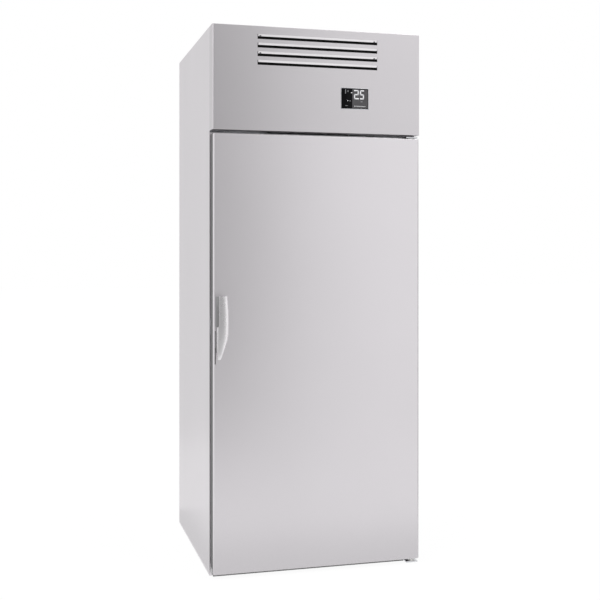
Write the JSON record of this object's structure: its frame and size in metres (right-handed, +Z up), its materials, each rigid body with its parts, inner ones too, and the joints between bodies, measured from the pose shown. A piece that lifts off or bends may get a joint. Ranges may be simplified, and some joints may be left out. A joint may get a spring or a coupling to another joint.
{
  "type": "roll-in refrigerated cabinet",
  "caption": "Upright stainless cold cabinet with a full-height insulated door, a louvred machine head and a floor-level bay that a trolley rolls into.",
  "frame": {"origin": "on the floor at the middle of the bounding box", "axes": "+X to the right of someone facing the door, -Y out of the door, +Z up"},
  "size_m": [0.875, 0.94, 2.2],
  "materials": {
    "satin_stainless": "satin",
    "inner_steel": "satin",
    "galvanised_sheet": "satin",
    "insulating_foam": "matte",
    "white_plastic": "satin",
    "dark_plastic": "satin",
    "grey_rubber": "matte",
    "black_rubber": "matte",
    "black_enamel": "gloss",
    "fin_aluminium": "satin",
    "cast_alloy": "satin",
    "plated_steel": "gloss",
    "copper": "satin",
    "display_glass": "gloss",
    "lamp_diffuser": "satin",
    "green_plastic": "gloss"
  },
  "bodies": {
    "cabinet": {"left_side_skin": "satin_stainless", "right_side_skin": "satin_stainless", "rear_skin": "galvanised_sheet", "side_wall_foam": "insulating_foam", "rear_wall_foam": "insulating_foam", "ceiling_foam": "insulating_foam", "inner_liner": "inner_steel", "front_frame": "satin_stainless", "breaker_strip": "white_plastic", "base_rails": "galvanised_sheet", "floor_pan": "inner_steel", "deck_plate": "galvanised_sheet", "bumper_rails": "satin_stainless", "wheel_guides": "satin_stainless", "air_duct_panel": "inner_steel", "evaporator_housing": "galvanised_sheet", "evaporator_coil": "fin_aluminium", "evap_fan_plate": "galvanised_sheet", "evap_fan_motors": "dark_plastic", "evap_fan_guards": "plated_steel", "drip_tray": "inner_steel", "drain_pipe": "white_plastic", "evaporating_pan": "dark_plastic", "compressor": "black_enamel", "compressor_feet": "black_rubber", "condenser_coil": "fin_aluminium", "condenser_shroud": "galvanised_sheet", "condenser_fan_motor": "dark_plastic", "filter_drier": "copper", "refrigerant_lines": "copper", "electrical_box": "white_plastic", "cable_gland": "dark_plastic", "rear_vent_panel": "galvanised_sheet", "head_rail": "galvanised_sheet", "fascia_hinge_pins": "plated_steel", "interior_lamp": "lamp_diffuser", "temperature_probe": "dark_plastic", "strike_plate": "plated_steel", "top_hinge_bracket": "plated_steel", "bottom_hinge_bracket": "plated_steel", "hinge_screws": "plated_steel"},
    "door": {"door_outer_skin": "satin_stainless", "door_foam": "insulating_foam", "door_inner_liner": "inner_steel", "door_gasket": "grey_rubber", "door_foot_rail": "satin_stainless", "door_sweep": "black_rubber", "hinge_bushes": "plated_steel", "handle_base": "cast_alloy", "latch_case": "dark_plastic"},
    "handle": {"handle_grip": "cast_alloy", "handle_pin": "plated_steel"},
    "latch": {"latch_bolt": "plated_steel"},
    "release": {"release_knob": "green_plastic"},
    "fascia": {"fascia_panel": "satin_stainless", "display_panel": "display_glass", "controller_case": "dark_plastic", "air_filter": "dark_plastic"},
    "condenser_rotor": {"condenser_fan": "dark_plastic"},
    "evap_rotor_left": {"evap_fan_left": "dark_plastic"},
    "evap_rotor_right": {"evap_fan_right": "dark_plastic"}
  },
  "joints": [
    {"name": "door_swing", "type": "hinge", "parent": "cabinet", "child": "door", "pos_m": [0.4085, -0.393, 0.9], "axis": [0, 0, 1], "range_deg": [0, 110]},
    {"name": "handle_pull", "type": "hinge", "parent": "door", "child": "handle", "pos_m": [-0.3955, -0.431, 0.975], "axis": [0, 0, 1], "range_deg": [0, 12], "stiffness_Nm_per_rad": 2, "springref_deg": -5.73},
    {"name": "latch_slide", "type": "slide", "parent": "door", "child": "latch", "axis": [1, 0, 0], "range_m": [0, 0.008]},
    {"name": "release_push", "type": "slide", "parent": "door", "child": "release", "axis": [0, -1, 0], "range_m": [0, 0.008]},
    {"name": "fascia_lift", "type": "hinge", "parent": "cabinet", "child": "fascia", "pos_m": [0, -0.362, 2.196], "axis": [-1, 0, 0], "range_deg": [0, 75]},
    {"name": "condenser_fan_spin", "type": "hinge", "parent": "cabinet", "child": "condenser_rotor", "pos_m": [-0.02, -0.218, 1.948], "axis": [0, 1, 0], "continuous": true},
    {"name": "evap_fan_left_spin", "type": "hinge", "parent": "cabinet", "child": "evap_rotor_left", "pos_m": [-0.12, 0.185, 1.782], "axis": [0, 0, 1], "continuous": true},
    {"name": "evap_fan_right_spin", "type": "hinge", "parent": "cabinet", "child": "evap_rotor_right", "pos_m": [0.12, 0.185, 1.782], "axis": [0, 0, 1], "continuous": true}
  ],
  "couplings": [
    {"joint": "latch_slide", "follows": "handle_pull", "m_per_rad": 0.038197},
    {"joint": "release_push", "follows": "handle_pull", "m_per_rad": 0.038197}
  ]
}
